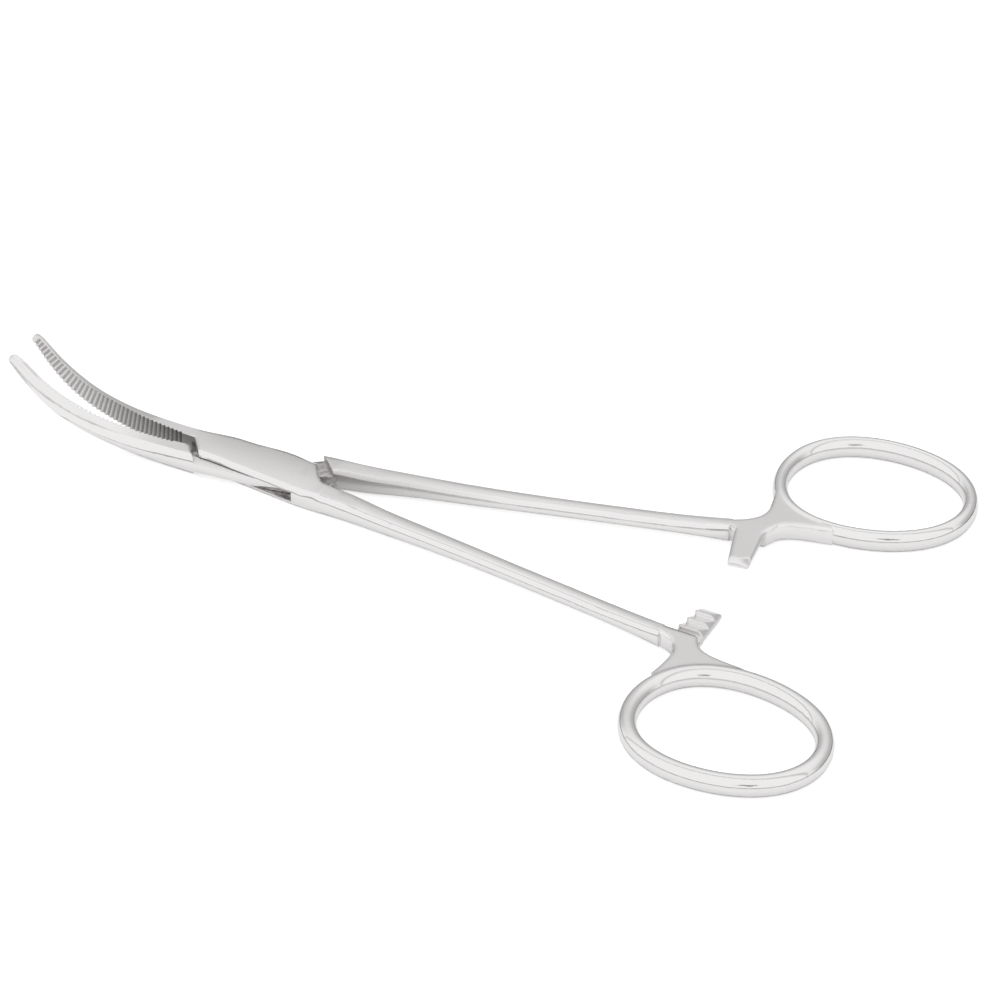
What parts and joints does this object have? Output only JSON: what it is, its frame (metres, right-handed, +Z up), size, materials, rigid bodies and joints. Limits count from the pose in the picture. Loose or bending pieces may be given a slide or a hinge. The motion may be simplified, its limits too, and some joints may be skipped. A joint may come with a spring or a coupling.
{
  "type": "haemostatic forceps",
  "caption": "Curved haemostatic forceps in stainless steel with a box lock, serrated jaws, a finger ratchet and oval finger rings, lying partly open",
  "frame": {"origin": "on the pivot axis, at the level of the table", "axes": "+X from the pivot toward the finger rings along the bisector of the opening, +Y toward the ring of the male half, +Z up from the table"},
  "size_m": [0.1596, 0.0956, 0.0154],
  "materials": {
    "stainless": "satin flat faces, polished rounded sides and rings",
    "pin_steel": "ground flush, satin"
  },
  "bodies": {
    "female": {"female_half": "stainless", "pivot_pin": "pin_steel"},
    "male": {"male_half": "stainless"}
  },
  "joints": [
    {"name": "box_lock", "type": "hinge", "parent": "female", "child": "male", "pos_m": [0, 0, 0.002], "axis": [0, 0, 1], "range_deg": [-9.2, 70]}
  ]
}
